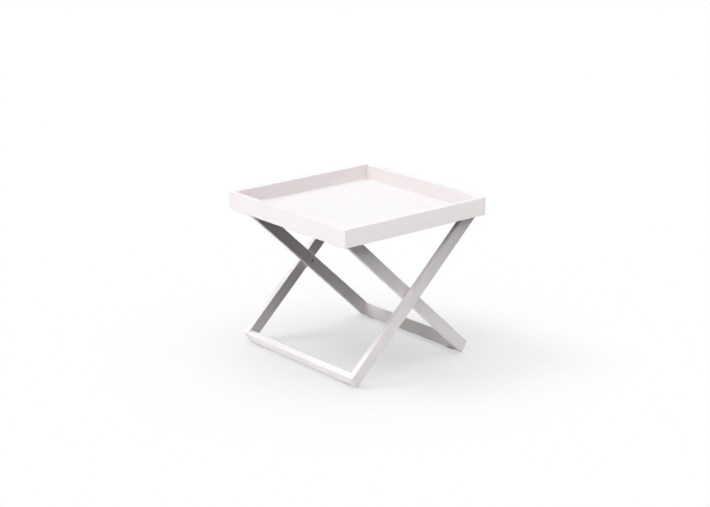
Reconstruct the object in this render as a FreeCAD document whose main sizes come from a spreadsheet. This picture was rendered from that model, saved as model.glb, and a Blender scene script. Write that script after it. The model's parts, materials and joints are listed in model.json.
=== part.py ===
import FreeCAD, Part
import os
import re
import Sketcher

# A square tray with a raised rim on a folding X stand of flat tube.
# +Z is up and the origin lies on the floor under the tray's middle. The X of the stand shows from the front (-Y).

# Driving dimensions, in millimetres, and one angle in degrees.
SIZES = {
    "table_height": 450,
    "tray_side": 500,
    "rim_height": 50,
    "rim_thickness": 12,
    "rim_wall": 1.5,
    "rim_edge_radius": 1,
    "key_length": 40,
    "key_fit": 0.1,
    "panel_thickness": 3,
    "panel_gap": 0.3,
    "ledge_thickness": 6,
    "ledge_width": 10,
    "stud_diameter": 4,
    "stud_spacing": 140,
    "stud_hole_gap": 0.25,
    "stud_tail": 1.5,
    "nut_across_flats": 7,
    "nut_height": 3.2,
    "thread_fit": 0.05,
    "pad_thickness": 1.5,
    "pad_width": 20,
    "pad_length": 40,
    "pad_spacing": 300,
    "stop_thickness": 4,
    "stop_depth": 12,
    "stop_gap": 0.5,
    "stop_end_gap": 4,
    "leg_width": 35,
    "leg_thickness": 16,
    "tube_wall": 2,
    "tube_edge_radius": 1.5,
    "leg_inset": 11,
    "frame_gap": 2,
    "foot_setback": 23,
    "top_setback": 48,
    "rail_lean": 30,
    "top_rail_width": 30,
    "top_rail_height": 15,
    "plug_depth": 15,
    "plug_fit": 0.1,
    "glide_height": 1.5,
    "glide_width": 3,
    "glide_length": 30,
    "glide_end_gap": 20,
    "pivot_diameter": 8,
    "pivot_thread_diameter": 6,
    "pivot_thread_length": 10,
    "bush_diameter": 12,
    "insert_diameter": 12,
    "insert_tip_gap": 1,
    "insert_end": 1,
    "press_fit": 0.02,
    "running_fit": 0.05,
    "side_play": 0.15,
    "head_diameter": 11,
    "head_height": 5,
    "head_chamfer": 1,
    "socket_across_flats": 5,
    "socket_depth": 2.5,
    "head_washer_diameter": 14,
    "head_washer_thickness": 1,
    "spacer_diameter": 24,
}

# Places worked out from the driving dimensions. A leg's middle line runs straight from the floor at foot_reach
# on one side to the tray's underside at top_reach on the other, so the two frames cross at x = 0.
PLACES = {
    "half_tray": "tray_side / 2",
    "rim_inside": "half_tray - rim_thickness",
    "ledge_inside": "rim_inside - ledge_width",
    "under_tray": "table_height - rim_height",
    "panel_seat": "under_tray + ledge_thickness",
    "stand_top": "under_tray - pad_thickness",
    "outer_out": "half_tray - leg_inset",
    "outer_in": "outer_out - leg_thickness",
    "inner_out": "outer_in - frame_gap",
    "inner_in": "inner_out - leg_thickness",
    "foot_reach": "half_tray - foot_setback",
    "top_reach": "half_tray - top_setback",
    "run_per_rise": "(foot_reach + top_reach) / under_tray",
    "pivot_height": "foot_reach / run_per_rise",
    "slant": "sqrt(1 + run_per_rise * run_per_rise)",
    "leg_cut": "leg_width / 2 * slant",
    "bore_cut": "(leg_width / 2 - tube_wall) * slant",
    "plug_cut": "(leg_width / 2 - tube_wall - plug_fit) * slant",
    "lean_sin": "sin(rail_lean * 1 deg)",
    "lean_cos": "cos(rail_lean * 1 deg)",
    "toe_x": "glide_height * run_per_rise - foot_reach + leg_cut",
    "top_rail_low": "stand_top - top_rail_height",
    "top_rail_middle": "(stand_top - top_rail_height / 2) * run_per_rise - foot_reach",
    "top_rail_near": "top_rail_middle - top_rail_width / 2",
    "top_rail_far": "top_rail_middle + top_rail_width / 2",
    "stop_near": "top_rail_far + stop_gap",
    "ledge_middle": "rim_inside - ledge_width / 2",
    "nut_low": "under_tray - nut_height",
    "bore_radius": "pivot_diameter / 2 + running_fit",
    "washer_out": "inner_in - side_play",
    "head_out": "washer_out - head_washer_thickness",
    "head_in": "head_out - head_height",
    "insert_out": "outer_out - tube_wall - insert_tip_gap",
}

# The four sides of the tray are the front one turned by quarter turns.
QUARTER_TURNS = {
    "front": lambda x, y: (x, y),
    "right": lambda x, y: (f"-({y})", x),
    "rear": lambda x, y: (f"-({x})", f"-({y})"),
    "left": lambda x, y: (y, f"-({x})"),
}
FRAMES = {"outer": 1, "inner": -1}
ENDS = {"front": -1, "rear": 1}
SIDES = {"left": -1, "right": 1}

doc = FreeCAD.newDocument("tray_table")
nodes = {}
owner = {}


def qualify(formula):
    """Writes each named value in a formula as a reference to the object that holds it."""
    return re.sub(r"[a-z]+(?:_[a-z]+)*", lambda word: owner.get(word[0], word[0]), formula)


def make_sheet():
    """Holds the driving dimensions, one row each."""
    sheet = doc.addObject("Spreadsheet::Sheet", "Sizes")
    for row, (alias, value) in enumerate(SIZES.items(), start=1):
        sheet.set(f"A{row}", alias.replace("_", " "))
        sheet.set(f"B{row}", str(value))
        sheet.setAlias(f"B{row}", alias)
        owner[alias] = f"Sizes.{alias}"
    doc.recompute()


def make_places():
    """Holds the places that follow from the driving dimensions."""
    holder = doc.addObject("App::VarSet", "Places")
    for name, formula in PLACES.items():
        holder.addProperty("App::PropertyFloat", name, "Places")
        holder.setExpression(name, qualify(formula))
        owner[name] = f"Places.{name}"
        doc.recompute()
    return holder


make_sheet()
places = make_places()


def number(formula):
    return float(places.evalExpression(qualify(formula)))


def signed(sign, formula):
    return formula if sign > 0 else f"-({formula})"


def between(end, near, far):
    """The low and high limits of a stretch that lies from near to far on the front or rear side."""
    return (near, far) if ENDS[end] > 0 else (f"-({far})", f"-({near})")


def bind(item, formulas):
    for name, formula in formulas.items():
        item.setExpression(name, qualify(formula))


def keep(label, item):
    """Names a finished sub-part."""
    item.Label = label
    nodes[label] = item
    return item


def pin(sketch, kind, axis, place, formula):
    """Ties one coordinate of a sketch point to a formula."""
    geometry, point = place
    if formula == "0":
        sketch.addConstraint(Sketcher.Constraint("PointOnObject", geometry, point, axis))
        return
    index = sketch.addConstraint(Sketcher.Constraint(kind, -1, 1, geometry, point, number(formula)))
    sketch.setExpression(f"Constraints[{index}]", qualify(formula))


def plane_sketch(body, role, shift="0"):
    """An empty sketch on one of the body's own origin planes, moved along the plane's normal by shift."""
    sketch = body.newObject("Sketcher::SketchObject", "Sketch")
    plane = next(feature for feature in body.Origin.OriginFeatures if feature.Role == role)
    sketch.AttachmentSupport = [(plane, "")]
    sketch.MapMode = "FlatFace"
    bind(sketch, {"AttachmentOffset.Base.z": shift})
    return sketch


def polygon_sketch(body, role, points, shift="0"):
    sketch = plane_sketch(body, role, shift)
    corners = [FreeCAD.Vector(number(x), number(y), 0) for x, y in points]
    count = len(points)
    for i in range(count):
        sketch.addGeometry(Part.LineSegment(corners[i], corners[(i + 1) % count]))
    for i, (x, y) in enumerate(points):
        sketch.addConstraint(Sketcher.Constraint("Coincident", i, 2, (i + 1) % count, 1))
        pin(sketch, "DistanceX", -2, (i, 1), x)
        pin(sketch, "DistanceY", -1, (i, 1), y)
    return sketch


def circle_sketch(body, role, height, radius, shift):
    """A circle on the sketch's vertical axis."""
    sketch = plane_sketch(body, role, shift)
    middle = FreeCAD.Vector(0, number(height), 0)
    sketch.addGeometry(Part.Circle(middle, FreeCAD.Vector(0, 0, 1), number(radius)))
    pin(sketch, "DistanceX", -2, (0, 3), "0")
    pin(sketch, "DistanceY", -1, (0, 3), height)
    index = sketch.addConstraint(Sketcher.Constraint("Radius", 0, number(radius)))
    sketch.setExpression(f"Constraints[{index}]", qualify(radius))
    return sketch


def pad(body, sketch, length):
    feature = body.newObject("PartDesign::Pad", "Pad")
    feature.Profile = sketch
    bind(feature, {"Length": length})
    doc.recompute()


def pocket(body, sketch, length, along_normal):
    """Cuts a sketch out of the body, and stops if nothing was cut."""
    before = body.Shape.Volume
    feature = body.newObject("PartDesign::Pocket", "Pocket")
    feature.Profile = sketch
    feature.Reversed = along_normal
    bind(feature, {"Length": length})
    doc.recompute()
    if feature.Shape.Volume >= before:
        raise RuntimeError(f"{body.Name}: a pocket cut nothing")


def round_edges(body, direction, radius):
    """Rounds the straight edges that run along one direction."""
    base = body.Tip
    names = []
    for index, edge in enumerate(base.Shape.Edges, start=1):
        if edge.tangentAt(edge.FirstParameter).isParallel(direction, 1e-6):
            names.append(f"Edge{index}")
    feature = body.newObject("PartDesign::Fillet", "Fillet")
    feature.Base = (base, names)
    bind(feature, {"Radius": radius})
    doc.recompute()


def bar(name, points, low, high):
    """A piece with one outline as seen from the front, from y = low to y = high."""
    body = doc.addObject("PartDesign::Body", name)
    bind(body, {"Placement.Base.y": high})
    pad(body, polygon_sketch(body, "XZ_Plane", points), f"({high}) - ({low})")
    return body


def slab(name, points, low, high):
    """A piece with one outline as seen from above, from z = low to z = high."""
    body = doc.addObject("PartDesign::Body", name)
    bind(body, {"Placement.Base.z": low})
    pad(body, polygon_sketch(body, "XY_Plane", points), f"({high}) - ({low})")
    return body


def turned(name, points):
    """A round piece on the pivot's axis: each point is a radius and a place along Y."""
    body = doc.addObject("PartDesign::Body", name)
    bind(body, {"Placement.Base.z": "pivot_height"})
    sketch = polygon_sketch(body, "XY_Plane", points)
    feature = body.newObject("PartDesign::Revolution", "Revolution")
    feature.Profile = sketch
    feature.ReferenceAxis = (sketch, ["V_Axis"])
    feature.Angle = 360
    doc.recompute()
    return body


def block(name, x_limits, y_limits, z_limits):
    item = doc.addObject("Part::Box", name)
    limits = (("Length", "x", x_limits), ("Width", "y", y_limits), ("Height", "z", z_limits))
    for size, axis, (low, high) in limits:
        bind(item, {size: f"({high}) - ({low})", f"Placement.Base.{axis}": low})
    return item


def rod(name, x, y, low, high, radius):
    """An upright round rod."""
    item = doc.addObject("Part::Cylinder", name)
    bind(item, {"Radius": radius, "Height": f"({high}) - ({low})"})
    bind(item, {"Placement.Base.x": x, "Placement.Base.y": y, "Placement.Base.z": low})
    return item


def cut(name, base, tool):
    item = doc.addObject("Part::Cut", name)
    item.Base = base
    item.Tool = tool
    return item


def group(label, items):
    item = doc.addObject("Part::Compound", label)
    item.Links = items
    return keep(label, item)


def tray_rim():
    """Flat tubes on edge, mitred at the corners and hollow from mitre to mitre."""
    outside, inside = "half_tray", "rim_inside"
    shape = [(f"-{outside}", f"-{outside}"), (outside, f"-{outside}"),
             (inside, f"-{inside}"), (f"-{inside}", f"-{inside}")]
    near, far = "-(rim_inside + rim_wall)", "-(half_tray - rim_wall)"
    hollow = [(f"-{outside}", far), (outside, far), (outside, near), (f"-{outside}", near)]
    for side, turn in QUARTER_TURNS.items():
        body = slab(f"tray_rim_{side}", [turn(*point) for point in shape], "under_tray", "table_height")
        along = FreeCAD.Vector(*[number(value) for value in turn("1", "0")], 0)
        round_edges(body, along, "rim_edge_radius")
        sketch = polygon_sketch(body, "XY_Plane", [turn(*point) for point in hollow], "rim_wall")
        pocket(body, sketch, "rim_height - 2 * rim_wall", along_normal=True)
        keep(f"tray_rim_{side}", body)


def rim_corner_keys():
    """L-shaped keys inside the rim's tubes, one in each corner."""
    out = "(half_tray - rim_wall - key_fit)"
    near = "(rim_inside + rim_wall + key_fit)"
    tip = f"({out} - key_length)"
    shape = [(out, f"-{out}"), (out, f"-{tip}"), (near, f"-{tip}"),
             (near, f"-{near}"), (tip, f"-{near}"), (tip, f"-{out}")]
    keys = []
    for side, turn in QUARTER_TURNS.items():
        low, high = "under_tray + rim_wall + key_fit", "table_height - rim_wall - key_fit"
        keys.append(slab(f"rim_corner_key_{side}", [turn(*point) for point in shape], low, high))
    group("rim_corner_keys", keys)


def tray_panel():
    """The sheet inside the rim, laid on the ledges."""
    half = "(rim_inside - panel_gap)"
    limits = (f"-{half}", half)
    panel = block("tray_panel", limits, limits, ("panel_seat", "panel_seat + panel_thickness"))
    keep("tray_panel", panel)


def stud_places(turn):
    """The middle of each stud on one side's ledge."""
    steps = ("-stud_spacing", "0", "stud_spacing")
    return [turn(step, "-ledge_middle") for step in steps]


def tray_ledges():
    """Flat bars inside the rim's lower edge, drilled for the panel's studs."""
    height = ("under_tray", "panel_seat")
    lengths = {"front": "rim_inside", "rear": "rim_inside", "left": "ledge_inside", "right": "ledge_inside"}
    for side, turn in QUARTER_TURNS.items():
        ends = [turn(f"-{lengths[side]}", "-rim_inside"), turn(lengths[side], "-ledge_inside")]
        limits = [sorted(axis, key=number) for axis in zip(*ends)]
        solid = block(f"ledge_bar_{side}", *limits, height)
        holes = doc.addObject("Part::Compound", f"ledge_holes_{side}")
        radius = "stud_diameter / 2 + stud_hole_gap"
        holes.Links = [rod(f"ledge_hole_{side}", *place, *height, radius) for place in stud_places(turn)]
        keep(f"tray_ledge_{side}", cut(f"tray_ledge_{side}", solid, holes))


def panel_fixings():
    """Studs on the panel's underside, each with a hex nut under the ledge."""
    studs = []
    nuts = []
    radius = "stud_diameter / 2"
    for side, turn in QUARTER_TURNS.items():
        for x, y in stud_places(turn):
            studs.append(rod(f"stud_{side}", x, y, "nut_low - stud_tail", "panel_seat", radius))
            blank = doc.addObject("Part::Prism", f"nut_blank_{side}")
            blank.Polygon = 6
            bind(blank, {"Circumradius": "nut_across_flats / sqrt(3)", "Height": "nut_height"})
            bind(blank, {"Placement.Base.x": x, "Placement.Base.y": y, "Placement.Base.z": "nut_low"})
            hole = rod(f"nut_hole_{side}", x, y, "nut_low", "under_tray", f"{radius} + thread_fit")
            nuts.append(cut(f"nut_{side}", blank, hole))
    group("panel_studs", studs)
    group("panel_nuts", nuts)


def tray_bearers():
    """Bars under the panel that rest on the stand's top rails, each with a stop hung outside the rail."""
    ledge_span = ("-ledge_inside", "ledge_inside")
    stop_span = ("-(inner_in - stop_end_gap)", "inner_in - stop_end_gap")
    for side, sign in SIDES.items():
        bearer = [signed(sign, place) for place in ("top_rail_near", "stop_near")]
        stop = [signed(sign, place) for place in ("stop_near", "stop_near + stop_thickness")]
        bearer.sort(key=number)
        stop.sort(key=number)
        keep(f"tray_bearer_{side}", block(f"tray_bearer_{side}", bearer, ledge_span, ("under_tray", "panel_seat")))
        height = ("under_tray - stop_depth", "panel_seat")
        keep(f"tray_stop_{side}", block(f"tray_stop_{side}", stop, stop_span, height))


def rest_pads():
    """Thin pads between the bearers and the top rails."""
    pads = []
    for side in SIDES.values():
        for end in ENDS.values():
            x = signed(side, "top_rail_middle")
            y = signed(end, "pad_spacing / 2")
            x_limits = (f"{x} - pad_width / 2", f"{x} + pad_width / 2")
            y_limits = (f"{y} - pad_length / 2", f"{y} + pad_length / 2")
            pads.append(block("rest_pad", x_limits, y_limits, ("stand_top", "under_tray")))
    group("rest_pads", pads)


def leg_edge(height, half_cut):
    """A point at a height on a line along the leg, half_cut sideways from the leg's middle."""
    return (f"({height}) * run_per_rise - foot_reach + ({half_cut})", height)


def foot_edge(depth, half_cut):
    """The point where such a line meets the foot's leaning end face, sunk in by depth."""
    along = (f"((leg_cut + ({depth}) * (lean_cos - run_per_rise * lean_sin) - ({half_cut}))"
             " / (lean_sin + run_per_rise * lean_cos))")
    return (f"toe_x + ({depth}) * lean_cos - {along} * lean_sin",
            f"glide_height + ({depth}) * lean_sin + {along} * lean_cos")


def leg_outline(sign, depth, half_cut, top):
    points = [foot_edge(depth, half_cut), foot_edge(depth, f"-{half_cut}"),
              leg_edge(top, f"-{half_cut}"), leg_edge(top, half_cut)]
    return [(signed(sign, x), z) for x, z in points]


def leg(frame, end):
    """A flat tube, closed at the foot, with a hole for the pivot."""
    sign = FRAMES[frame]
    label = f"{frame}_leg_{end}"
    shape = leg_outline(sign, "0", "leg_cut", "stand_top")
    body = bar(label, shape, *between(end, f"{frame}_in", f"{frame}_out"))
    along = FreeCAD.Vector(sign * number("run_per_rise"), 0, 1)
    round_edges(body, along, "tube_edge_radius")
    hollow = leg_outline(sign, "tube_wall", "bore_cut", "stand_top + tube_wall")
    sketch = polygon_sketch(body, "XZ_Plane", hollow, "tube_wall")
    pocket(body, sketch, "leg_thickness - 2 * tube_wall", along_normal=True)
    pivot_hole(body, frame, end)
    keep(label, body)


def pivot_hole(body, frame, end):
    """Through an inner leg for its bush, and into an outer leg's inner wall for its insert."""
    if frame == "inner":
        radius = "bush_diameter / 2 + press_fit"
        sketch = circle_sketch(body, "XZ_Plane", "pivot_height", radius, "0")
        pocket(body, sketch, "leg_thickness", along_normal=True)
    else:
        radius = "insert_diameter / 2 + press_fit"
        shift = "0" if end == "front" else "leg_thickness"
        sketch = circle_sketch(body, "XZ_Plane", "pivot_height", radius, shift)
        pocket(body, sketch, "tube_wall", along_normal=end == "front")


def leg_plugs(frame):
    """Plugs that close the tops of a frame's legs."""
    plugs = []
    low = "stand_top - plug_depth"
    points = [leg_edge(low, "plug_cut"), leg_edge(low, "-plug_cut"),
              leg_edge("stand_top", "-plug_cut"), leg_edge("stand_top", "plug_cut")]
    points = [(signed(FRAMES[frame], x), z) for x, z in points]
    for end in ENDS:
        limits = between(end, f"{frame}_in + tube_wall + plug_fit", f"{frame}_out - tube_wall - plug_fit")
        plugs.append(bar(f"{frame}_leg_plug_{end}", points, *limits))
    group(f"{frame}_leg_plugs", plugs)


def cross_tube(label, frame, shape, hollow):
    """A tube across a frame, between the faces of its legs."""
    reach = f"{frame}_in"
    body = bar(label, shape, f"-{reach}", reach)
    round_edges(body, FreeCAD.Vector(0, 1, 0), "tube_edge_radius")
    pocket(body, polygon_sketch(body, "XZ_Plane", hollow), f"2 * {reach}", along_normal=True)
    keep(label, body)


def foot_rail(frame):
    """The tube across the feet: it leans with the feet's end faces, its lowest edge at their toes."""
    def outline(inset):
        points = []
        for up, across in (("0", "0"), ("1", "0"), ("1", "1"), ("0", "1")):
            rise = f"({inset} + {up} * (leg_width - 2 * {inset}))"
            depth = f"({inset} + {across} * (leg_thickness - 2 * {inset}))"
            x = f"toe_x - {rise} * lean_sin + {depth} * lean_cos"
            z = f"glide_height + {rise} * lean_cos + {depth} * lean_sin"
            points.append((signed(FRAMES[frame], x), z))
        return points
    cross_tube(f"{frame}_foot_rail", frame, outline("0"), outline("tube_wall"))


def top_rail(frame):
    """The flat tube across the tops of the legs, which carries the tray."""
    def outline(inset):
        near, far = f"top_rail_near + {inset}", f"top_rail_far - {inset}"
        low, high = f"top_rail_low + {inset}", f"stand_top - {inset}"
        points = [(near, low), (far, low), (far, high), (near, high)]
        return [(signed(FRAMES[frame], x), z) for x, z in points]
    cross_tube(f"{frame}_top_rail", frame, outline("0"), outline("tube_wall"))


def glides(frame):
    """Wedges under the foot rail, flat on the floor."""
    far = "toe_x + glide_width"
    points = [("toe_x", "glide_height"), (far, "glide_height + glide_width * lean_sin / lean_cos"),
              (far, "0"), ("toe_x", "0")]
    points = [(signed(FRAMES[frame], x), z) for x, z in points]
    edge = f"{frame}_in - glide_end_gap"
    pieces = []
    for end in ENDS:
        pieces.append(bar(f"{frame}_glide_{end}", points, *between(end, f"{edge} - glide_length", edge)))
    group(f"{frame}_glides", pieces)


def ring(name, end, bore, radius, near, far):
    """A round sleeve or washer on the pivot's axis."""
    sign = ENDS[end]
    points = [(bore, near), (radius, near), (radius, far), (bore, far)]
    return turned(name, [(r, signed(sign, y)) for r, y in points])


def pivot_insert(end):
    """A blind threaded insert, set in from the outer leg's inner face."""
    outside = "insert_diameter / 2"
    bore = "pivot_thread_diameter / 2 + thread_fit"
    tip = "insert_out - insert_end"
    points = [(bore, "outer_in"), (outside, "outer_in"), (outside, "insert_out"),
              ("0", "insert_out"), ("0", tip), (bore, tip)]
    return turned(f"pivot_insert_{end}", [(r, signed(ENDS[end], y)) for r, y in points])


def pivot_bolt(end):
    """A shoulder bolt: a chamfered head on the inner side, a plain shank and a short thread."""
    sign = ENDS[end]
    head, shank, thread = "head_diameter / 2", "pivot_diameter / 2", "pivot_thread_diameter / 2"
    tip = "outer_in + pivot_thread_length"
    points = [("0", "head_in"), (f"{head} - head_chamfer", "head_in"), (head, "head_in + head_chamfer"),
              (head, "head_out"), (shank, "head_out"), (shank, "outer_in"), (thread, "outer_in"),
              (thread, tip), ("0", tip)]
    body = turned(f"pivot_bolt_{end}", [(r, signed(sign, y)) for r, y in points])
    corner = "socket_across_flats / sqrt(3)"
    half, flat = f"{corner} / 2", "socket_across_flats / 2"
    socket = [(corner, "0"), (half, flat), (f"-{half}", flat),
              (f"-{corner}", "0"), (f"-{half}", f"-{flat}"), (half, f"-{flat}")]
    sketch = polygon_sketch(body, "XZ_Plane", socket, signed(-sign, "head_in"))
    pocket(body, sketch, "socket_depth", along_normal=sign < 0)
    return body


def pivots():
    """Everything on the two pivots."""
    group("pivot_bolts", [pivot_bolt(end) for end in ENDS])
    group("pivot_inserts", [pivot_insert(end) for end in ENDS])
    rings = {
        "pivot_bush": ("bore_radius", "bush_diameter / 2", "inner_in", "inner_out"),
        "pivot_spacer": ("bore_radius", "spacer_diameter / 2", "inner_out + side_play", "outer_in"),
        "pivot_head_washer": ("bore_radius", "head_washer_diameter / 2", "head_out", "washer_out"),
    }
    for name, sizes in rings.items():
        plural = f"{name}es" if name.endswith("sh") else f"{name}s"
        group(plural, [ring(f"{name}_{end}", end, *sizes) for end in ENDS])


def stand_frame(frame):
    """One U-shaped frame of the stand."""
    for end in ENDS:
        leg(frame, end)
    foot_rail(frame)
    top_rail(frame)
    leg_plugs(frame)
    glides(frame)


def check_document():
    """Stops before anything is written if an object failed or a sub-part has no sound shape."""
    doc.recompute()
    for item in doc.Objects:
        if "Invalid" in item.State or "Error" in item.State:
            raise RuntimeError(f"{item.Label} failed: {item.State}")
    for label, item in nodes.items():
        if item.Shape.isNull() or not item.Shape.isValid():
            raise RuntimeError(f"{label} has no valid shape")


tray_rim()
rim_corner_keys()
tray_panel()
tray_ledges()
panel_fixings()
tray_bearers()
rest_pads()
for frame_name in FRAMES:
    stand_frame(frame_name)
pivots()
check_document()
os.makedirs("parts", exist_ok=True)
for label, item in nodes.items():
    item.Shape.exportStep(f"parts/{label}.step")
print(f"{len(nodes)} sub-parts, {sum(len(item.Shape.Solids) for item in nodes.values())} solids")
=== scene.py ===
# %% [markdown]
# # A white tray table on a folding stand
#
# A square tray with a raised rim rests on a folding X stand of flat tube. The CAD model already has the
# right shape for the tray, the tubes and the small fittings, so this lesson loads that model, gives each
# piece the finish of the real one, and adds what a maker sees close up: weld beads, threads and edges.
# Everything is in metres, in the same place as in the CAD model, so no piece needs to be fitted by eye.

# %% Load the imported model
import json
import math

import bmesh
import bpy
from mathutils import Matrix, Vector, geometry
from mathutils.bvhtree import BVHTree


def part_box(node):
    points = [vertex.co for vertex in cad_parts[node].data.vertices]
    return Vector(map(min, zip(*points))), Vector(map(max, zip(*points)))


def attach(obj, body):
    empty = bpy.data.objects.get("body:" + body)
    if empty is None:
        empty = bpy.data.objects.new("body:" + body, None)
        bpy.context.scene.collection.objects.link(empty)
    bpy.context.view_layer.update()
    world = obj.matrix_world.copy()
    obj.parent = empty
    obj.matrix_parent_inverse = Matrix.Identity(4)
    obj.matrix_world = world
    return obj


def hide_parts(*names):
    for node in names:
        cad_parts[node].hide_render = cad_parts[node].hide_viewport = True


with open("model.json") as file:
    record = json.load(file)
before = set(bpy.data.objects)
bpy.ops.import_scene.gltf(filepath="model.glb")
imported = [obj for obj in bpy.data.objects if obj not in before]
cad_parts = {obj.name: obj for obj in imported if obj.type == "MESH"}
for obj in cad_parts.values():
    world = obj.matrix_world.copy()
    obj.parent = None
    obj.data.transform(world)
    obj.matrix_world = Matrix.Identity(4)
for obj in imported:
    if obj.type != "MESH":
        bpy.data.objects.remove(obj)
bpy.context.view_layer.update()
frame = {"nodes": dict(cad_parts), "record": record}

nodes = frame["nodes"]
print("nodes:", len(nodes))

# %% [markdown]
# ## The camera
#
# The photograph looks down on one corner of the tray from a little above it, with a long lens, so the far
# edges shrink only a little. A camera could be tracked to an empty, but here its place, aim and focal length
# were worked out from the tray's corners, so a plain rotation along the line of sight is enough. The small
# shift is the offset of the picture's centre.

# %% Camera
CAMERA_AIM = Vector((0, 0, 0.2825))
CAMERA_FORWARD = Vector((0.61647, 0.73046, -0.29393)).normalized()
CAMERA_DISTANCE = 4.620
LENS_MM = 84.18
SENSOR_MM = 36.0
SHIFT_X = -0.0026
SHIFT_Y = -0.0014
CLIP_END = 200.0

camera_data = bpy.data.cameras.new("photo_camera")
camera_data.sensor_fit = "HORIZONTAL"
camera_data.sensor_width = SENSOR_MM
camera_data.lens = LENS_MM
camera_data.shift_x = SHIFT_X
camera_data.shift_y = SHIFT_Y
camera_data.clip_end = CLIP_END
camera = bpy.data.objects.new("photo_camera", camera_data)
camera.location = CAMERA_AIM - CAMERA_FORWARD * CAMERA_DISTANCE
camera.rotation_euler = CAMERA_FORWARD.to_track_quat("-Z", "Y").to_euler()
bpy.context.scene.collection.objects.link(camera)
bpy.context.scene.camera = camera
print("camera at", [round(value, 3) for value in camera.location])

# %% [markdown]
# ## Building node trees
#
# Finishes and small fittings below are both trees of nodes. A few helpers keep the code short: one adds a
# node and sets its inputs, one joins two sockets, and one does a sum on sockets or plain numbers.

# %% Node helpers
def add_node(tree, kind, values=None, **settings):
    """Adds a node, sets its properties and then the values of its input sockets."""
    node = tree.nodes.new(kind)
    for name, value in settings.items():
        setattr(node, name, value)
    for socket, value in (values or {}).items():
        node.inputs[socket].default_value = value
    return node


def join(tree, source, target):
    """Joins an output socket to an input socket."""
    tree.links.new(source, target)


def calc(tree, operation, *terms):
    """A Math node. Each term is a socket or a number."""
    node = add_node(tree, "ShaderNodeMath", operation=operation)
    for position, term in enumerate(terms):
        if isinstance(term, (int, float)):
            node.inputs[position].default_value = term
        else:
            join(tree, term, node.inputs[position])
    return node.outputs[0]


def grey(level):
    """A neutral colour."""
    return (level, level, level, 1.0)


# %% [markdown]
# ## The floor
#
# The photograph is taken in a white studio, and the floor runs into the background with no line between
# them. A backdrop sheet with a curved sweep would do it. One large plane is simpler, because it can be two
# floors at once. What the camera sees is a white floor: part of it is lit, so it keeps the table's soft
# shadow, and part of it glows. What the table gets back from it is the light of a darker floor, since the
# insides of the legs are dark in the photograph. The floor's own lamps come after the table's.

# %% Floor
FLOOR_SIZE = 60.0
FLOOR_LIT = 0.15
FLOOR_GLOW = 0.545
FLOOR_BOUNCE = 0.014


def seen_directly(tree):
    """One for what the camera sees straight, in a mirror or through glass, and zero for bounced light."""
    path = add_node(tree, "ShaderNodeLightPath")
    straight = calc(tree, "MAXIMUM", path.outputs["Is Camera Ray"], path.outputs["Is Glossy Ray"])
    return calc(tree, "MAXIMUM", straight, path.outputs["Is Transmission Ray"])


def studio_floor():
    """White with a soft shadow where it is seen, and a darker floor for the light it gives back."""
    material = bpy.data.materials.new("studio_floor")
    material.use_nodes = True
    tree = material.node_tree
    tree.nodes.clear()
    seen = seen_directly(tree)
    colour = add_node(tree, "ShaderNodeMix", {6: grey(FLOOR_BOUNCE), 7: grey(FLOOR_LIT)}, data_type="RGBA")
    join(tree, seen, colour.inputs[0])
    lit = add_node(tree, "ShaderNodeBsdfDiffuse")
    join(tree, colour.outputs[2], lit.inputs["Color"])
    glow = add_node(tree, "ShaderNodeEmission", {"Color": grey(1.0)})
    join(tree, calc(tree, "MULTIPLY", seen, FLOOR_GLOW), glow.inputs["Strength"])
    both = add_node(tree, "ShaderNodeAddShader")
    join(tree, lit.outputs[0], both.inputs[0])
    join(tree, glow.outputs[0], both.inputs[1])
    output = add_node(tree, "ShaderNodeOutputMaterial")
    join(tree, both.outputs[0], output.inputs["Surface"])
    return material


half = FLOOR_SIZE / 2
floor_mesh = bpy.data.meshes.new("studio_floor")
corners = [(-half, -half, 0), (half, -half, 0), (half, half, 0), (-half, half, 0)]
floor_mesh.from_pydata(corners, [], [(0, 1, 2, 3)])
floor_mesh.materials.append(studio_floor())
floor = bpy.data.objects.new("studio_floor", floor_mesh)
bpy.context.scene.collection.objects.link(floor)
print("floor:", FLOOR_SIZE, "m square")

# %% [markdown]
# ## Dome and lamps
#
# Each side of the table has its own tone in the photograph: the tray's left side is nearly white, its front
# is a light grey, and the legs behind are darker the nearer they are to the tray. Three wide lamps over a
# faint dome start on that: one high in front, whose light the tray keeps off the far legs, one high behind
# the left side, which throws the floor shadow towards the front right, and one low on the left. Sun lamps are
# used, because their light has the same strength everywhere, and a wide angle makes them soft.

# %% Dome and main lamps
DOME_LEVEL = 0.10


def soft_lamp(name, azimuth, elevation, width, strength):
    """A sun lamp that shines from the given side. A strength of one lights a facing white wall to white."""
    around = math.radians(azimuth)
    up = math.radians(elevation)
    towards = Vector((math.cos(around) * math.cos(up), math.sin(around) * math.cos(up), math.sin(up)))
    data = bpy.data.lights.new(name, "SUN")
    data.energy = strength * math.pi
    data.angle = math.radians(width)
    lamp = bpy.data.objects.new(name, data)
    lamp.rotation_euler = (-towards).to_track_quat("-Z", "Y").to_euler()
    bpy.context.scene.collection.objects.link(lamp)
    print("lamp", name, "from", [round(value, 2) for value in towards])
    return lamp


world = bpy.data.worlds.new("studio_dome")
world.use_nodes = True
bpy.context.scene.world = world
tree = world.node_tree
tree.nodes.clear()
level = add_node(tree, "ShaderNodeMix", {2: DOME_LEVEL, 3: 1.0}, data_type="FLOAT")
join(tree, seen_directly(tree), level.inputs[0])
dome = add_node(tree, "ShaderNodeBackground", {"Color": grey(1.0)})
join(tree, level.outputs[0], dome.inputs["Strength"])
output = add_node(tree, "ShaderNodeOutputWorld")
join(tree, dome.outputs[0], output.inputs["Surface"])

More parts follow.
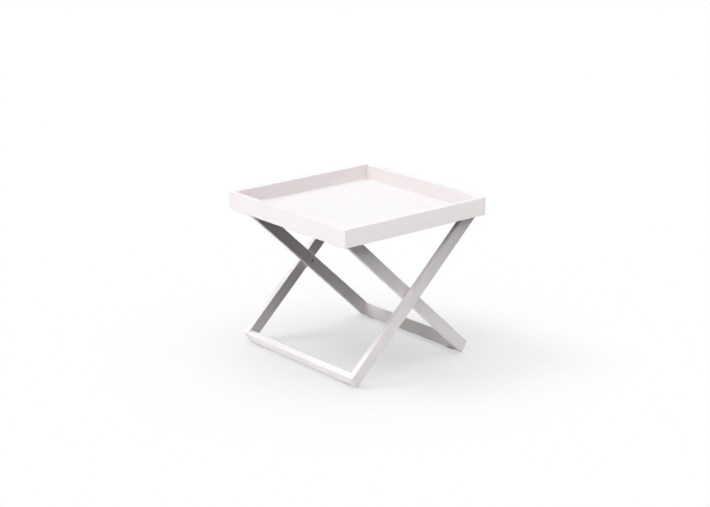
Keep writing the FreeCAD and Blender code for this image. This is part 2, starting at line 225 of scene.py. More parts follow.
front_lamp = soft_lamp("front_lamp", azimuth=265, elevation=70, width=45, strength=0.545)
soft_lamp("key_lamp", azimuth=129, elevation=54, width=24, strength=0.33)
soft_lamp("left_lamp", azimuth=180, elevation=8, width=14, strength=0.165)
bpy.context.scene.view_settings.view_transform = "Standard"

# %% [markdown]
# ## Lamps for the sides
#
# In the photograph the rim's outer faces are brighter than the legs below them, and the legs are brightest at
# the feet. One lamp can't do both, so these lamps use light linking: each has a collection of receivers, and
# lights nothing else. Each side of the rim has a level sun of its own, and the foot rails share those of the
# left and the right. The left and right rims get no other fill, because with more of them their outer faces
# came out dark and blotchy. Two faint suns from a little higher reach the insides of the front and rear rims,
# and three more light the legs and the glides from the left and the right.

# %% Fill lamps
FILL_WIDTH = 2.0


def light_only(lamp, receivers):
    """Links a lamp to some objects, so it lights nothing else."""
    lit = bpy.data.collections.new(lamp.name + "_receivers")
    for receiver in receivers:
        lit.objects.link(receiver)
    lamp.light_linking.receiver_collection = lit


RIMS = ["tray_rim_front", "tray_rim_rear", "tray_rim_left", "tray_rim_right"]
OUTER_LEGS = ["outer_leg_front", "outer_leg_rear"]
INNER_LEGS = ["inner_leg_front", "inner_leg_rear"]
# Side, azimuth, elevation, strength, receivers.
FILLS = [
    ("left", 180, 0, 0.55, ["tray_rim_left", "outer_foot_rail"]),
    ("right", 0, 0, 0.55, ["tray_rim_right", "inner_foot_rail"]),
    ("front", 270, 0, 0.57, ["tray_rim_front"]),
    ("rear", 90, 0, 0.57, ["tray_rim_rear"]),
    ("inside_front", 90, 10, 0.06, ["tray_rim_front"]),
    ("inside_rear", 270, 10, 0.06, ["tray_rim_rear"]),
    ("left_legs", 180, 5, 0.55, ["inner_leg_front", "outer_leg_rear", "inner_glides"]),
    ("left_far_leg", 180, 5, 0.25, ["inner_leg_rear"]),
    ("right_legs", 0, 5, 0.55, OUTER_LEGS + INNER_LEGS + ["outer_glides"]),
]
for side, azimuth, elevation, strength, receivers in FILLS:
    lamp = soft_lamp("fill_" + side, azimuth, elevation, FILL_WIDTH, strength)
    light_only(lamp, [nodes[receiver] for receiver in receivers])

# %% [markdown]
# ## Strips on the floor
#
# The legs and the foot rails grow lighter towards the floor. A gradient in their finish would do it, but it
# would be painted light, and wrong in any other room. Long, narrow area lamps close to the floor do it with
# real light, which fades with distance. Some stand outside the table, and short ones under it light the
# insides of the legs. The two for the foot rails are the lowest, so that the rails' outer faces get more of
# their light than the upper faces do.

# %% Floor strips
STRIP_WIDTH = 0.04


def floor_strip(name, azimuth, distance, along, height, length, watts):
    """A long lamp on the floor. It shines away from its azimuth and isn't seen itself."""
    around = math.radians(azimuth)
    outward = Vector((math.cos(around), math.sin(around), 0.0))
    sideways = Vector((-math.sin(around), math.cos(around), 0.0))
    data = bpy.data.lights.new(name, "AREA")
    data.shape = "RECTANGLE"
    data.size = length
    data.size_y = STRIP_WIDTH
    data.energy = watts
    lamp = bpy.data.objects.new(name, data)
    lamp.location = outward * distance + sideways * along + Vector((0, 0, height))
    lamp.rotation_euler = (-outward).to_track_quat("-Z", "Y").to_euler()
    lamp.visible_camera = False
    bpy.context.scene.collection.objects.link(lamp)
    print("strip", name, "at", [round(value, 2) for value in lamp.location])
    return lamp


# Side, azimuth, distance, along, height, length, watts, receivers.
STRIPS = [
    ("left", 180, 0.36, 0.0, 0.005, 1.20, 0.92, ["outer_foot_rail"]),
    ("right", 0, 0.36, 0.0, 0.005, 1.20, 0.92, ["inner_foot_rail"]),
    ("left_front", 180, 0.36, 0.12, 0.02, 0.24, 0.27, ["outer_leg_front"]),
    ("front_outer", 270, 0.59, 0.0, 0.06, 1.20, 1.32, ["outer_leg_front"]),
    ("rear_outer", 90, 0.59, 0.0, 0.06, 1.20, 1.32, ["outer_leg_rear"]),
    ("front_inner", 270, 0.59, 0.0, 0.02, 1.20, 1.18, ["inner_leg_front"]),
    ("rear_inner", 90, 0.59, 0.0, 0.02, 1.20, 1.18, ["inner_leg_rear"]),
    ("under_front_outer", 90, -0.06, 0.12, 0.02, 0.24, 0.095, ["outer_leg_front"]),
    ("under_rear_outer", 270, -0.06, -0.12, 0.02, 0.24, 0.095, ["outer_leg_rear"]),
    ("under_front_inner", 90, 0.0, 0.0, 0.02, 0.36, 0.13, ["inner_leg_front"]),
    ("under_rear_inner", 270, 0.0, 0.0, 0.02, 0.36, 0.13, ["inner_leg_rear"]),
]
for side, azimuth, distance, along, height, length, watts, receivers in STRIPS:
    lamp = floor_strip("strip_" + side, azimuth, distance, along, height, length, watts)
    light_only(lamp, [nodes[receiver] for receiver in receivers])

# %% [markdown]
# ## Lamps for the tray and the floor
#
# The tray is the brightest part of the photograph, so it has two more lamps. One adds to the lamp behind the
# left side, on the rims and on one foot rail. The other lights the panel alone, rather low from the right.
# The right rim shades the part of the panel beside it, which makes the panel more even, and the lamp is kept
# just short of white, because a finish that clips shows nothing. Three lamps light only the floor. Two shine
# from straight above and differ in width, so the shadow fades out all round the table, and the third deepens
# the shadow towards the front right. The front lamp leaves the floor out, by a collection that excludes it.

# %% Lamps for the tray and the floor
tray_lamp = soft_lamp("tray_lamp", azimuth=129, elevation=54, width=10, strength=0.225)
light_only(tray_lamp, [nodes[receiver] for receiver in RIMS + ["inner_foot_rail"]])
panel_lamp = soft_lamp("panel_lamp", azimuth=0, elevation=30, width=50, strength=0.27)
light_only(panel_lamp, [nodes["tray_panel"]])
# Name, azimuth, elevation, width, strength.
FLOOR_LAMPS = [
    ("floor_high", 0, 90, 60, 1.20),
    ("floor_wide", 0, 90, 150, 1.13),
    ("floor_key", 129, 54, 24, 0.38),
]
for name, azimuth, elevation, width, strength in FLOOR_LAMPS:
    light_only(soft_lamp(name, azimuth, elevation, width, strength), [floor])
off_floor = bpy.data.collections.new("off_floor")
off_floor.objects.link(floor)
off_floor.collection_objects[0].light_linking.link_state = "EXCLUDE"
front_lamp.light_linking.receiver_collection = off_floor

# %% [markdown]
# ## White powder coat
#
# The tray and the tubes are aluminium with a baked white powder coat. Such a coat is satin, a little warm,
# and close up it has the fine ripple that painters call orange peel, with a finer grain on top. Both are
# noise in Object coordinates, in real millimetres, and reach the shader as bump. The gloss and the tone
# wander a little over the sheet, and the coat is thinner, so greyer, where it runs over an edge.

# %% Pattern helpers
def object_noise(tree, wavelength, detail=2.0, stretch=(1.0, 1.0, 1.0)):
    """Noise with the given size of its spots in metres. A larger stretch shortens the spots on that axis."""
    place = add_node(tree, "ShaderNodeTexCoord")
    turn = add_node(tree, "ShaderNodeMapping", {"Scale": stretch})
    noise = add_node(tree, "ShaderNodeTexNoise", {"Scale": 1.0 / wavelength, "Detail": detail})
    join(tree, place.outputs["Object"], turn.inputs["Vector"])
    join(tree, turn.outputs["Vector"], noise.inputs["Vector"])
    return noise.outputs["Fac"]


def spread(tree, value, low, high, start=0.3, stop=0.7):
    """Maps the middle of a noise, or another range, to the range from low to high."""
    limits = {"From Min": start, "From Max": stop, "To Min": low, "To Max": high}
    node = add_node(tree, "ShaderNodeMapRange", limits)
    join(tree, value, node.inputs["Value"])
    return node.outputs["Result"]


def tone(tree, factor, first, second):
    """Mixes two colours, each of them a socket or a plain colour."""
    node = add_node(tree, "ShaderNodeMix", data_type="RGBA")
    join(tree, factor, node.inputs[0])
    for position, colour in ((6, first), (7, second)):
        if isinstance(colour, tuple):
            node.inputs[position].default_value = colour
        else:
            join(tree, colour, node.inputs[position])
    return node.outputs[2]


def ripple(tree, height, depth, under=None):
    """A bump of the given depth in metres, on top of another one."""
    node = add_node(tree, "ShaderNodeBump", {"Strength": 1.0, "Distance": depth})
    join(tree, height, node.inputs["Height"])
    if under is not None:
        join(tree, under, node.inputs["Normal"])
    return node.outputs["Normal"]


# %% [markdown]
# ### Edges of the coat
#
# The Geometry node's Pointiness could find the edges where the coat is thin, but it needs a dense mesh of
# joined faces, and a CAD node's mesh is loose triangles. The Bevel node rounds the normal near an edge on any
# mesh, so the mask is made from how far that normal leans.

# %% Edges and shader
BEVEL_SAMPLES = 4
EDGE_LEAN = 0.80
FLAT_LEAN = 0.99


def edge_mask(tree, radius):
    """One on edges and zero on flat faces, from how far a rounded normal leans away from the face."""
    rounded = add_node(tree, "ShaderNodeBevel", {"Radius": radius}, samples=BEVEL_SAMPLES)
    face = add_node(tree, "ShaderNodeNewGeometry")
    lean = add_node(tree, "ShaderNodeVectorMath", operation="DOT_PRODUCT")
    join(tree, rounded.outputs["Normal"], lean.inputs[0])
    join(tree, face.outputs["Normal"], lean.inputs[1])
    return spread(tree, lean.outputs["Value"], 1.0, 0.0, start=EDGE_LEAN, stop=FLAT_LEAN)


def new_finish(name, **constants):
    """A material with its Principled shader, and the shader's own constant sockets set."""
    material = bpy.data.materials.new(name)
    material.use_nodes = True
    tree = material.node_tree
    shader = tree.nodes["Principled BSDF"]
    for socket, value in constants.items():
        shader.inputs[socket.replace("_", " ")].default_value = value
    return material, tree, shader


# %% White powder coat
COAT = (0.910, 0.857, 0.857, 1.0)
COAT_PALE = (0.925, 0.873, 0.873, 1.0)
COAT_THIN = (0.800, 0.760, 0.762, 1.0)
PANEL = (0.905, 0.880, 0.880, 1.0)
PANEL_PALE = (0.920, 0.897, 0.897, 1.0)
COAT_IOR = 1.5
COAT_SPECULAR = 0.25
DRIFT_WAVELENGTH = 0.11
EDGE_RADIUS = 0.0016
EDGE_SHARE = 0.35
GLOSS_WAVELENGTH = 0.030
COAT_ROUGHNESS = (0.40, 0.50)
PEEL_WAVELENGTH = 0.0023
PEEL_DEPTH = 0.00005
GRAIN_WAVELENGTH = 0.00040
GRAIN_DEPTH = 0.000012


def powder_coat(name, marks=None, colours=(COAT, COAT_PALE)):
    """The coat. Marks is a function that adds what one piece's coat has and another's has not."""
    material, tree, shader = new_finish(name, IOR=COAT_IOR, Specular_IOR_Level=COAT_SPECULAR)
    drift = spread(tree, object_noise(tree, DRIFT_WAVELENGTH), 0.0, 1.0)
    colour = tone(tree, drift, *colours)
    thin = calc(tree, "MULTIPLY", edge_mask(tree, EDGE_RADIUS), EDGE_SHARE)
    colour = tone(tree, thin, colour, COAT_THIN)
    normal = ripple(tree, object_noise(tree, PEEL_WAVELENGTH, detail=1.0), PEEL_DEPTH)
    normal = ripple(tree, object_noise(tree, GRAIN_WAVELENGTH, detail=0.0), GRAIN_DEPTH, normal)
    gloss = spread(tree, object_noise(tree, GLOSS_WAVELENGTH, detail=3.0), *COAT_ROUGHNESS)
    if marks is not None:
        colour, gloss, normal = marks(tree, colour, gloss, normal)
    join(tree, colour, shader.inputs["Base Color"])
    join(tree, gloss, shader.inputs["Roughness"])
    join(tree, normal, shader.inputs["Normal"])
    return material


# %% [markdown]
# ### What differs from piece to piece
#
# The rim's four tubes are mitred and welded at the corners. The weld is ground flush before coating, so all
# that is left of it is a hairline on the diagonal, drawn where the distances from both middle planes are the
# same. The panel is wiped often, so its gloss has faint streaks in two directions. The stand stands on a
# terrace, so a little dust dulls the coat close to the floor. All of these stay faint, because the table in
# the photograph is new.

# %% Hairlines of the rim
HAIRLINE_START = 0.00008
HAIRLINE_END = 0.00035
HAIRLINE = (0.74, 0.70, 0.70, 1.0)
HAIRLINE_SHARE = 0.4
HAIRLINE_DEPTH = 0.00004


def object_axes(tree):
    """The Object coordinates as three sockets."""
    place = add_node(tree, "ShaderNodeTexCoord")
    axes = add_node(tree, "ShaderNodeSeparateXYZ")
    join(tree, place.outputs["Object"], axes.inputs[0])
    return axes.outputs


def mitre_hairline(tree, colour, gloss, normal):
    """A hairline on the diagonals of the tray."""
    axes = object_axes(tree)
    across = calc(tree, "SUBTRACT", calc(tree, "ABSOLUTE", axes["X"]), calc(tree, "ABSOLUTE", axes["Y"]))
    line = spread(tree, calc(tree, "ABSOLUTE", across), 1.0, 0.0, HAIRLINE_START, HAIRLINE_END)
    share = calc(tree, "MULTIPLY", line, HAIRLINE_SHARE)
    groove = ripple(tree, calc(tree, "SUBTRACT", 1.0, line), HAIRLINE_DEPTH, normal)
    return tone(tree, share, colour, HAIRLINE), gloss, groove


# %% Wiping streaks of the panel
STREAKS_ALONG = {"wavelength": 0.060, "detail": 4.0, "stretch": (1.0, 26.0, 1.0)}
STREAKS_ACROSS = {"wavelength": 0.075, "detail": 4.0, "stretch": (22.0, 1.5, 1.0)}
STREAK_RANGE = {"start": 0.52, "stop": 0.75}
STREAK_DULLING = 0.07


def wiping_streaks(tree, colour, gloss, normal):
    """Faint streaks in the gloss, in two directions."""
    along = object_noise(tree, **STREAKS_ALONG)
    across = object_noise(tree, **STREAKS_ACROSS)
    streaks = calc(tree, "MAXIMUM", along, across)
    duller = spread(tree, streaks, 0.0, STREAK_DULLING, **STREAK_RANGE)
    return colour, calc(tree, "ADD", gloss, duller), normal


# %% Dust on the stand
DUST = (0.80, 0.765, 0.750, 1.0)
DUST_HEIGHT = 0.055
DUST_SPOT = 0.006
DUST_RANGE = {"start": 0.45, "stop": 0.70}
DUST_SHARE = 0.30
DUST_DULLING = 0.5


def floor_dust(tree, colour, gloss, normal):
    """A little dust close to the floor, in spots."""
    low = spread(tree, object_axes(tree)["Z"], 1.0, 0.0, start=0.0, stop=DUST_HEIGHT)
    spots = spread(tree, object_noise(tree, DUST_SPOT, detail=4.0), 0.0, 1.0, **DUST_RANGE)
    share = calc(tree, "MULTIPLY", calc(tree, "MULTIPLY", low, spots), DUST_SHARE)
    dusty = calc(tree, "ADD", gloss, calc(tree, "MULTIPLY", share, DUST_DULLING))
    return tone(tree, share, colour, DUST), dusty, normal


# %% All coats
coat_rim = powder_coat("white_coat_rim", mitre_hairline)
coat_panel = powder_coat("white_coat_panel", wiping_streaks, (PANEL, PANEL_PALE))
coat_stand = powder_coat("white_coat_stand", floor_dust)
coat_plain = powder_coat("white_coat_plain")
print("coats:", coat_rim.name, coat_panel.name, coat_stand.name, coat_plain.name)

# %% [markdown]
# ## Finishes of the small fittings
#
# The plugs, glides, bushes, spacers and washers are moulded nylon, which is matte and a little uneven. The
# pads are rubber with pale specks of filler. The studs, nuts and inserts are stainless steel, with fine lines
# from the lathe. The keys inside the rim are plain extruded aluminium.

# %% Nylon
NYLON = (0.86, 0.86, 0.84, 1.0)
NYLON_DULL = (0.82, 0.82, 0.80, 1.0)
NYLON_IOR = 1.53
NYLON_GLOW = 0.04
NYLON_GLOW_DEPTH = (0.003, 0.003, 0.003)
NYLON_CLOUD = 0.012
NYLON_GLOSS_SPOT = 0.004
NYLON_ROUGHNESS = (0.48, 0.64)
NYLON_SKIN = 0.0006
NYLON_SKIN_DEPTH = 0.00002


def moulded_nylon():
    """Matte, a little cloudy, with light that goes slightly under the skin."""
    material, tree, shader = new_finish("moulded_nylon", IOR=NYLON_IOR, Subsurface_Weight=NYLON_GLOW)
    shader.inputs["Subsurface Radius"].default_value = NYLON_GLOW_DEPTH
    cloud = spread(tree, object_noise(tree, NYLON_CLOUD, detail=3.0), 0.0, 1.0)
    rough = spread(tree, object_noise(tree, NYLON_GLOSS_SPOT), *NYLON_ROUGHNESS)
    skin = ripple(tree, object_noise(tree, NYLON_SKIN), NYLON_SKIN_DEPTH)
    join(tree, tone(tree, cloud, NYLON, NYLON_DULL), shader.inputs["Base Color"])
    join(tree, rough, shader.inputs["Roughness"])
    join(tree, skin, shader.inputs["Normal"])
    return material


# %% Rubber
RUBBER = (0.30, 0.30, 0.30, 1.0)
RUBBER_SPECK = (0.42, 0.42, 0.41, 1.0)
RUBBER_IOR = 1.52
SPECK_SIZE = 0.0011
SPECK_RANGE = {"start": 0.62, "stop": 0.70}
RUBBER_GLOSS_SPOT = 0.003
RUBBER_ROUGHNESS = (0.72, 0.90)
RUBBER_SKIN = 0.0008
RUBBER_SKIN_DEPTH = 0.00006


def pad_rubber():
    """Dull, with pale specks of filler."""
    material, tree, shader = new_finish("pad_rubber", IOR=RUBBER_IOR)
    specks = spread(tree, object_noise(tree, SPECK_SIZE, detail=1.0), 0.0, 1.0, **SPECK_RANGE)
    rough = spread(tree, object_noise(tree, RUBBER_GLOSS_SPOT), *RUBBER_ROUGHNESS)
    skin = ripple(tree, object_noise(tree, RUBBER_SKIN, detail=3.0), RUBBER_SKIN_DEPTH)
    join(tree, tone(tree, specks, RUBBER, RUBBER_SPECK), shader.inputs["Base Color"])
    join(tree, rough, shader.inputs["Roughness"])
    join(tree, skin, shader.inputs["Normal"])
    return material


# %% Steel and aluminium
LINE_WAVELENGTH = 0.004
LINE_DEPTH = 0.00001


def lined_metal(name, colour, duller, roughness, stretch):
    """Metal with fine lines, which are noise squeezed on the stretched axis."""
    material, tree, shader = new_finish(name, Metallic=1.0)
    lines = object_noise(tree, LINE_WAVELENGTH, detail=3.0, stretch=stretch)
    shade = tone(tree, spread(tree, lines, 0.0, 1.0), colour, duller)
    join(tree, shade, shader.inputs["Base Color"])
    join(tree, spread(tree, lines, *roughness), shader.inputs["Roughness"])
    join(tree, ripple(tree, lines, LINE_DEPTH), shader.inputs["Normal"])
    return material


STEEL = (0.58, 0.57, 0.56, 1.0)
STEEL_DULL = (0.50, 0.49, 0.48, 1.0)
ALUMINIUM = (0.75, 0.75, 0.76, 1.0)
ALUMINIUM_DULL = (0.66, 0.66, 0.67, 1.0)
TURNED = (1.0, 1.0, 14.0)
EXTRUDED = (1.0, 1.0, 18.0)
FINISHES = {
    "white_coat": coat_plain,
    "nylon": moulded_nylon(),
    "pad_rubber": pad_rubber(),
    "stainless": lined_metal("stainless", STEEL, STEEL_DULL, (0.26, 0.40), TURNED),
    "bare_aluminium": lined_metal("bare_aluminium", ALUMINIUM, ALUMINIUM_DULL, (0.30, 0.42), EXTRUDED),
}
print("finishes:", sorted(FINISHES))

# %% [markdown]
# ## Finishes on the CAD model
#
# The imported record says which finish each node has. The coat has its variants, so the rim, the panel and the
# stand's tubes take those by name. A node's mesh is left alone: only its material slot changes.

# %% Give every node its finish
COAT_VARIANTS = {"tray_rim": coat_rim, "tray_panel": coat_panel, "outer_": coat_stand, "inner_": coat_stand}


def node_finish(name, slot):
    """The record's finish, or the variant of the coat that this node has."""
    if slot == "white_coat":
        for start, variant in COAT_VARIANTS.items():
            if name.startswith(start):
                return variant
    return FINISHES[slot]


for part in frame["record"]["subparts"]:
    node = nodes[part["node"]]
    finish = node_finish(part["node"], part["material_slot"])
    node.data.materials.clear()
    node.data.materials.append(finish)

# %% [markdown]
# ## Growing pieces with Geometry Nodes
#
# What repeats or follows a path is made by Geometry Nodes. Each piece starts from a carrier, which is a mesh
# of points and edges only. A modifier runs the tree on it, and the evaluated result is turned into a plain
# mesh, because the export keeps meshes and drops instances. The carrier is deleted afterwards.

# %% Trees with named inputs
def new_tree(name, inputs):
    """A Geometry Nodes tree with named inputs, given as name and kind of socket."""
    tree = bpy.data.node_groups.new(name, "GeometryNodeTree")
    tree.interface.new_socket("Geometry", in_out="INPUT", socket_type="NodeSocketGeometry")
    tree.interface.new_socket("Geometry", in_out="OUTPUT", socket_type="NodeSocketGeometry")
    for title, kind in inputs.items():
        tree.interface.new_socket(title, in_out="INPUT", socket_type="NodeSocket" + kind)
    return tree, add_node(tree, "NodeGroupInput").outputs


def close_tree(tree, made, finish):
    """Ends a tree: instances become real, and all of it gets the finish."""
    real = add_node(tree, "GeometryNodeRealizeInstances")
    painted = add_node(tree, "GeometryNodeSetMaterial")
    output = add_node(tree, "NodeGroupOutput")
    join(tree, made, real.inputs["Geometry"])
    join(tree, real.outputs[0], painted.inputs["Geometry"])
    join(tree, finish, painted.inputs["Material"])
    join(tree, painted.outputs[0], output.inputs[0])


def set_inputs(modifier, values):
    """Sets a modifier's inputs by the identifier of each named socket."""
    for socket in modifier.node_group.interface.items_tree:
        if socket.in_out == "INPUT" and socket.name in values:
            modifier[socket.identifier] = values[socket.name]


# %% Run a tree on a carrier
MERGE_DISTANCE = 1e-6


def tidy_mesh(mesh):
    """Merges doubles and turns every face outwards."""
    work = bmesh.new()
    work.from_mesh(mesh)
    bmesh.ops.remove_doubles(work, verts=work.verts, dist=MERGE_DISTANCE)
    bmesh.ops.recalc_face_normals(work, faces=work.faces)
    work.to_mesh(mesh)
    work.free()


def grow(name, tree, points, edges, values, attributes=None):
    """Runs a tree on a carrier and returns the result as an object with a plain mesh."""
    carrier_mesh = bpy.data.meshes.new(name + "_carrier")
    carrier_mesh.from_pydata(points, edges, [])
    for title, numbers in (attributes or {}).items():
        carrier_mesh.attributes.new(title, "FLOAT", "POINT").data.foreach_set("value", numbers)
    carrier = bpy.data.objects.new(name + "_carrier", carrier_mesh)
    bpy.context.scene.collection.objects.link(carrier)
    modifier = carrier.modifiers.new(tree.name, "NODES")
    modifier.node_group = tree
    set_inputs(modifier, values)
    bpy.context.view_layer.update()
    evaluated = carrier.evaluated_get(bpy.context.evaluated_depsgraph_get())
    mesh = bpy.data.meshes.new_from_object(evaluated)
    mesh.name = name
    carrier.modifiers.clear()
    bpy.data.objects.remove(carrier)
    bpy.data.meshes.remove(carrier_mesh)
    tidy_mesh(mesh)
    piece = bpy.data.objects.new(name, mesh)
    bpy.context.scene.collection.objects.link(piece)
    print(name, len(mesh.vertices), "vertices", len(mesh.polygons), "faces")
    return piece


# %% [markdown]
# ## The weld bead
#
# The rails of the stand are welded to the insides of the legs, and the coat covers the beads. A bead is a
# row of small overlapping scales. It could be modelled once and put along the seam as an array, but a bead
# bends round the corners of the tube, so a tree follows the seam instead: it sweeps a circle along it, and
# the circle's size rises and falls once for each scale, differs a little from scale to scale, and rounds
# off at both ends. Half of the circle is inside the metal, and what shows is the fillet.

# %% The weld bead tree
BEAD_SIDES = 10
# Just over one, so that a bead's end keeps a little width.
BEAD_END = 1.02


def weld_bead_tree():
    """Sweeps a rippled bead along the carrier's edges."""
    inputs = {
        "Radius": "Float", "Scale Length": "Float", "Scale Depth": "Float", "Unevenness": "Float",
        "Step": "Float", "Seed": "Int", "Finish": "Material",
    }
    tree, given = new_tree("weld_bead", inputs)
    path = add_node(tree, "GeometryNodeMeshToCurve")
    even = add_node(tree, "GeometryNodeResampleCurve", mode="LENGTH")
    join(tree, given["Geometry"], path.inputs["Mesh"])
    join(tree, path.outputs[0], even.inputs["Curve"])
    join(tree, given["Step"], even.inputs["Length"])
    along = add_node(tree, "GeometryNodeSplineParameter").outputs["Length"]
    whole = add_node(tree, "GeometryNodeSplineLength").outputs["Length"]

    scales = calc(tree, "DIVIDE", along, given["Scale Length"])
    inside = calc(tree, "MULTIPLY_ADD", calc(tree, "FRACT", scales), 2.0, -1.0)
    dip = calc(tree, "MULTIPLY", calc(tree, "MULTIPLY", inside, inside), given["Scale Depth"])
    differ = add_node(tree, "FunctionNodeRandomValue", data_type="FLOAT")
    join(tree, calc(tree, "SUBTRACT", 1.0, given["Unevenness"]), differ.inputs[2])
    join(tree, calc(tree, "ADD", 1.0, given["Unevenness"]), differ.inputs[3])
    join(tree, calc(tree, "FLOOR", scales), differ.inputs["ID"])
    join(tree, given["Seed"], differ.inputs["Seed"])
    scaled = calc(tree, "MULTIPLY", calc(tree, "SUBTRACT", 1.0, dip), differ.outputs[1])

    to_end = calc(tree, "MINIMUM", along, calc(tree, "SUBTRACT", whole, along))
    near = calc(tree, "MINIMUM", calc(tree, "DIVIDE", to_end, given["Radius"]), 1.0)
    short = calc(tree, "SUBTRACT", 1.0, near)
    round_end = calc(tree, "SQRT", calc(tree, "SUBTRACT", BEAD_END, calc(tree, "MULTIPLY", short, short)))
    size = calc(tree, "MULTIPLY", calc(tree, "MULTIPLY", scaled, round_end), given["Radius"])

    circle = add_node(tree, "GeometryNodeCurvePrimitiveCircle", {"Resolution": BEAD_SIDES, "Radius": 1.0})
    swept = add_node(tree, "GeometryNodeCurveToMesh", {"Fill Caps": True})
    join(tree, even.outputs[0], swept.inputs["Curve"])
    join(tree, circle.outputs[0], swept.inputs["Profile Curve"])
    join(tree, size, swept.inputs["Scale"])
    smooth = add_node(tree, "GeometryNodeSetShadeSmooth")
    join(tree, swept.outputs[0], smooth.inputs[0])
    close_tree(tree, smooth.outputs[0], given["Finish"])
    return tree


WELD_BEAD = weld_bead_tree()
print("tree:", WELD_BEAD.name, len(WELD_BEAD.nodes), "nodes")

# %% [markdown]
# ## The stand's seams
#
# A seam runs along the outline of a rail's end, but only where the leg's face goes on beyond it. Flush sides
# are ground flat on the real stand and get no bead. The outline is read from the rail's own mesh. A short
# ray towards the leg, started a little outside the outline, tells which parts of it have metal to weld to.

# %% The outline of a rail's end
SEAM_STEP = 0.0005
SAME_LEVEL = 1e-5


def end_outline(rail, level):
    """The outline of a rail's end at the given y, as evenly spaced points with their outward directions."""
    places = [vertex.co for vertex in nodes[rail].data.vertices]
    corners = [Vector((place.x, place.z)) for place in places if abs(place.y - level) < SAME_LEVEL]
    ring = [corners[index] for index in geometry.convex_hull_2d(corners)]
    outline = []
    for first, second in zip(ring, ring[1:] + ring[:1]):
        along = second - first
        count = max(1, round(along.length / SEAM_STEP))
        for number in range(count):
            outline.append((first + along * (number / count), along.normalized()))
    middle = sum((point for point, along in outline), Vector((0, 0))) / len(outline)
    turned = []
    for point, along in outline:
        outward = Vector((along.y, -along.x))
        if outward.dot(point - middle) < 0:
            outward.negate()
        turned.append((point, outward))
    return turned


# %% Find the seams
SEAM_PROBE = 0.0024
RAY_START = 0.005
RAY_REACH = 0.0055
SHORTEST_SEAM = 0.006


def rail_end_seams(rail, leg, level, side):
    """The stretches of a rail's end outline that have the leg's face beside them."""
    mesh = nodes[leg].data
    skin = BVHTree.FromPolygons([v.co for v in mesh.vertices], [p.vertices[:] for p in mesh.polygons])
    outline = end_outline(rail, level)
    towards = Vector((0, side, 0))
    touching = []
    for point, outward in outline:
        probe = point + outward * SEAM_PROBE
        start = Vector((probe.x, level - side * RAY_START, probe.y))
        touching.append(skin.ray_cast(start, towards, RAY_REACH)[0] is not None)
    first_gap = touching.index(False)
    seams, run = [], []
    for offset in range(len(outline) + 1):
        index = (first_gap + offset) % len(outline)
        if touching[index] and offset < len(outline):
            point = outline[index][0]
            run.append((point.x, level, point.y))
        elif run:
            seams.append(run)
            run = []
    return [seam for seam in seams if len(seam) * SEAM_STEP > SHORTEST_SEAM]


def frame_seams(name):
    """All seams of one frame of the stand."""
    seams = []
    for rail in (name + "_foot_rail", name + "_top_rail"):
        low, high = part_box(rail)
        seams += rail_end_seams(rail, name + "_leg_front", low.y, -1)
        seams += rail_end_seams(rail, name + "_leg_rear", high.y, 1)
    return seams


STAND_SEAMS = {name: frame_seams(name) for name in ("outer", "inner")}
for name, seams in STAND_SEAMS.items():
    print(name, "seams in mm:", [round(1000 * len(seam) * SEAM_STEP) for seam in seams])

# %% Weld the stand
STAND_BEAD = {
    "Radius": 0.0018, "Scale Length": 0.0026, "Scale Depth": 0.16, "Unevenness": 0.06, "Step": 0.00045,
    "Seed": 7, "Finish": coat_stand,
}


def carrier_lines(seams):
    """Points and edges of a carrier that has each seam as a line."""
    points, edges = [], []
    for seam in seams:
        start = len(points)
        points += seam
        edges += [(start + number, start + number + 1) for number in range(len(seam) - 1)]
    return points, edges


for name, seams in STAND_SEAMS.items():
    welds = grow(name + "_frame_welds", WELD_BEAD, *carrier_lines(seams), STAND_BEAD)
    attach(welds, name + "_frame")

# %% [markdown]
# ## Under the tray
#
# Below the panel, the two bearers and the stops that hang from them are stitch welded: short beads with
# gaps, which hold as well as a full bead and pull the sheet less. The same tree makes them, on short
# straight seams. With no scales, it also makes the smooth bead of sealer round the panel, which keeps water
# from the joint between the panel and the rim.

# %% Stitch welds and panel seal
STITCH_LENGTH = 0.020
STITCH_PLACES = (-0.17, -0.085, 0.0, 0.085, 0.17)
TRAY_BEAD = dict(STAND_BEAD, Radius=0.0014, Seed=11, Finish=coat_plain)
SEAL_BEAD = dict(STAND_BEAD, Radius=0.0011, Unevenness=0.0, Step=0.004, Seed=3, Finish=coat_plain)
SEAL_BEAD["Scale Depth"] = 0.0

panel_low, panel_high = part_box("tray_panel")
stop_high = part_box("tray_stop_right")[1]
bearer_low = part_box("tray_bearer_right")[0]
stitches = []
for side in (-1, 1):
    for x in (side * stop_high.x, side * bearer_low.x):
        for y in STITCH_PLACES:
            ends = (y - STITCH_LENGTH / 2, y + STITCH_LENGTH / 2)
            stitches.append([(x, end, panel_low.z) for end in ends])
tray_welds = grow("tray_welds", WELD_BEAD, *carrier_lines(stitches), TRAY_BEAD)
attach(tray_welds, "tray")

rim_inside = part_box("tray_rim_right")[0].x
seal_reach = (panel_high.x + rim_inside) / 2
seal_corners = [(-1, -1), (1, -1), (1, 1), (-1, 1)]
sides = []
for first, second in zip(seal_corners, seal_corners[1:] + seal_corners[:1]):
    sides.append([(x * seal_reach, y * seal_reach, panel_high.z) for x, y in (first, second)])
panel_seal = grow("panel_seal", WELD_BEAD, *carrier_lines(sides), SEAL_BEAD)
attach(panel_seal, "tray")

# %% [markdown]
# ## Turned parts
#
# Nuts, studs and bolts are all made on a lathe, so one tree makes them: it turns a profile, a line of points
# with a radius and a height, round an axis. Blender's Spin tool or Screw modifier would turn it too, but here
# each point of the profile also says how it is milled afterwards: across flats, which cuts a hexagon, and
# knurl, which cuts teeth. The tree then lays the parts out in rows around the middle of the table, each one
# turned to an angle of its own, since no two nuts stop at the same place.

